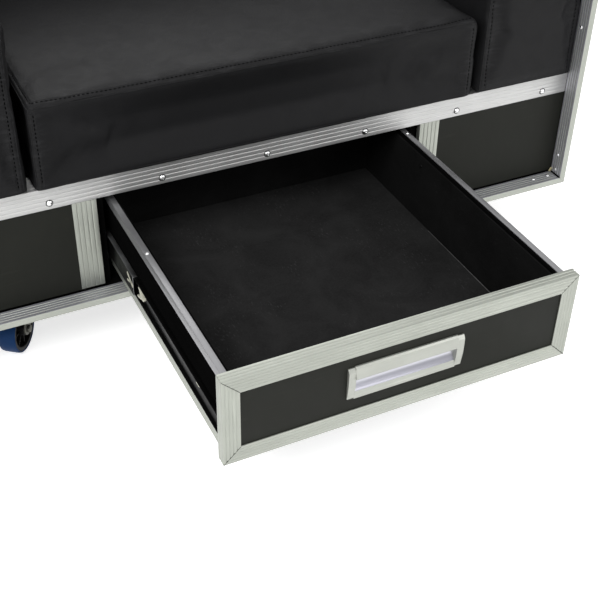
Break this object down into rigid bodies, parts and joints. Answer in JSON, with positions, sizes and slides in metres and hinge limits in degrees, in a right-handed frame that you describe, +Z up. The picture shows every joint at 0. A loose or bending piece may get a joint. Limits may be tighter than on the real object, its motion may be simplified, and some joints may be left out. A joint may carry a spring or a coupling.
{
  "type": "sofa flight case",
  "caption": "Wheeled flight case opened as a sofa: aluminium-edged black tray with leather cushions, armrests and a drawer on slides under the seat.",
  "frame": {"origin": "on the floor, under the middle of the whole object's box as it stands with the drawer out", "axes": "+X right along the front, +Y from the drawer to the back panel, +Z up"},
  "size_m": [1.431, 1.326, 0.86],
  "materials": {
    "aluminium": "satin, grooved extrusion",
    "steel": "zinc-plated",
    "black_steel": "black, semi-gloss",
    "laminate": "black laminate on plywood, fine grain",
    "black_wood": "black-stained plywood",
    "felt": "black brushed felt",
    "leather": "black synthetic leather, satin",
    "plastic": "natural beige",
    "blue_rubber": "blue elastic tyre on a dark hub"
  },
  "bodies": {
    "case": {"base_panel": "black_wood", "side_panel_left": "laminate", "side_panel_right": "laminate", "back_panel": "laminate", "rim_bottom": "aluminium", "rim_left": "aluminium", "rim_right": "aluminium", "rim_back_top": "aluminium", "edge_left": "aluminium", "edge_right": "aluminium", "edge_base_back": "aluminium", "seat_deck": "black_wood", "seat_rail": "aluminium", "post_left": "aluminium", "post_right": "aluminium", "front_panel_left": "laminate", "front_panel_right": "laminate", "partition_left": "black_wood", "partition_right": "black_wood", "slide_case_left": "steel", "slide_case_right": "steel", "castor_plate_front_left": "steel", "castor_plate_front_right": "steel", "castor_plate_back_left": "steel", "castor_plate_back_right": "steel", "seat_cushion": "leather", "back_cushion": "leather", "arm_cushion_left": "leather", "arm_cushion_right": "leather"},
    "drawer": {"drawer_floor": "black_wood", "drawer_wall_left": "black_wood", "drawer_wall_right": "black_wood", "drawer_wall_back": "black_wood", "drawer_front_board": "black_wood", "drawer_front_panel": "laminate", "front_frame_top": "aluminium", "front_frame_bottom": "aluminium", "front_frame_left": "aluminium", "front_frame_right": "aluminium", "drawer_top_trim": "aluminium", "drawer_angle_left": "aluminium", "drawer_angle_right": "aluminium", "drawer_lining": "felt", "drawer_handle": "aluminium", "slide_drawer_left": "black_steel", "slide_drawer_right": "black_steel"},
    "middle_left": {"slide_middle_left": "steel"},
    "middle_right": {"slide_middle_right": "steel"},
    "lever_left": {"slide_lever_left": "plastic"},
    "lever_right": {"slide_lever_right": "plastic"},
    "bail_left": {"side_handle_bail_left": "steel"},
    "bail_right": {"side_handle_bail_right": "steel"},
    "fork_front_left": {"castor_fork_front_left": "steel"},
    "fork_front_right": {"castor_fork_front_right": "steel"},
    "fork_back_left": {"castor_fork_back_left": "steel"},
    "fork_back_right": {"castor_fork_back_right": "steel"},
    "wheel_front_left": {"castor_wheel_front_left": "blue_rubber"},
    "wheel_front_right": {"castor_wheel_front_right": "blue_rubber"},
    "wheel_back_left": {"castor_wheel_back_left": "blue_rubber"},
    "wheel_back_right": {"castor_wheel_back_right": "blue_rubber"}
  },
  "joints": [
    {"name": "drawer_slide", "type": "slide", "parent": "case", "child": "drawer", "axis": [0, -1, 0], "range_m": [-0.55, 0.05]},
    {"name": "middle_slide_left", "type": "slide", "parent": "case", "child": "middle_left", "axis": [0, -1, 0], "range_m": [-0.2201, 0.0201]},
    {"name": "middle_slide_right", "type": "slide", "parent": "case", "child": "middle_right", "axis": [0, -1, 0], "range_m": [-0.2201, 0.0201]},
    {"name": "lever_tilt_left", "type": "hinge", "parent": "drawer", "child": "lever_left", "pos_m": [-0.3175, -0.2725, 0.2193], "axis": [1, 0, 0], "range_deg": [-6, 6], "stiffness_Nm_per_rad": 0.05},
    {"name": "lever_tilt_right", "type": "hinge", "parent": "drawer", "child": "lever_right", "pos_m": [0.3175, -0.2725, 0.2193], "axis": [1, 0, 0], "range_deg": [-6, 6], "stiffness_Nm_per_rad": 0.05},
    {"name": "bail_lift_left", "type": "hinge", "parent": "case", "child": "bail_left", "pos_m": [-0.7012, 0.2595, 0.302], "axis": [0, 1, 0], "range_deg": [0, 90], "stiffness_Nm_per_rad": 0.5},
    {"name": "bail_lift_right", "type": "hinge", "parent": "case", "child": "bail_right", "pos_m": [0.7012, 0.2595, 0.302], "axis": [0, -1, 0], "range_deg": [0, 90], "stiffness_Nm_per_rad": 0.5},
    {"name": "swivel_front_left", "type": "hinge", "parent": "case", "child": "fork_front_left", "pos_m": [-0.4887, -0.0128, 0.11], "axis": [0, 0, 1], "continuous": true},
    {"name": "swivel_front_right", "type": "hinge", "parent": "case", "child": "fork_front_right", "pos_m": [0.4887, -0.0128, 0.11], "axis": [0, 0, 1], "continuous": true},
    {"name": "swivel_back_left", "type": "hinge", "parent": "case", "child": "fork_back_left", "pos_m": [-0.4887, 0.5318, 0.11], "axis": [0, 0, 1], "continuous": true},
    {"name": "swivel_back_right", "type": "hinge", "parent": "case", "child": "fork_back_right", "pos_m": [0.4887, 0.5318, 0.11], "axis": [0, 0, 1], "continuous": true},
    {"name": "roll_front_left", "type": "hinge", "parent": "fork_front_left", "child": "wheel_front_left", "pos_m": [-0.51001, -0.04181, 0.05], "axis": [0.8059, -0.592, 0], "continuous": true},
    {"name": "roll_front_right", "type": "hinge", "parent": "fork_front_right", "child": "wheel_front_right", "pos_m": [0.46174, -0.03665, 0.05], "axis": [0.6626, -0.749, 0], "continuous": true},
    {"name": "roll_back_left", "type": "hinge", "parent": "fork_back_left", "child": "wheel_back_left", "pos_m": [-0.52049, 0.5149, 0.05], "axis": [0.4695, -0.8829, 0], "continuous": true},
    {"name": "roll_back_right", "type": "hinge", "parent": "fork_back_right", "child": "wheel_back_right", "pos_m": [0.46033, 0.50964, 0.05], "axis": [0.6157, -0.788, 0], "continuous": true}
  ],
  "couplings": [
    {"joint": "middle_slide_left", "follows": "drawer_slide", "ratio": 0.4},
    {"joint": "middle_slide_right", "follows": "drawer_slide", "ratio": 0.4}
  ]
}
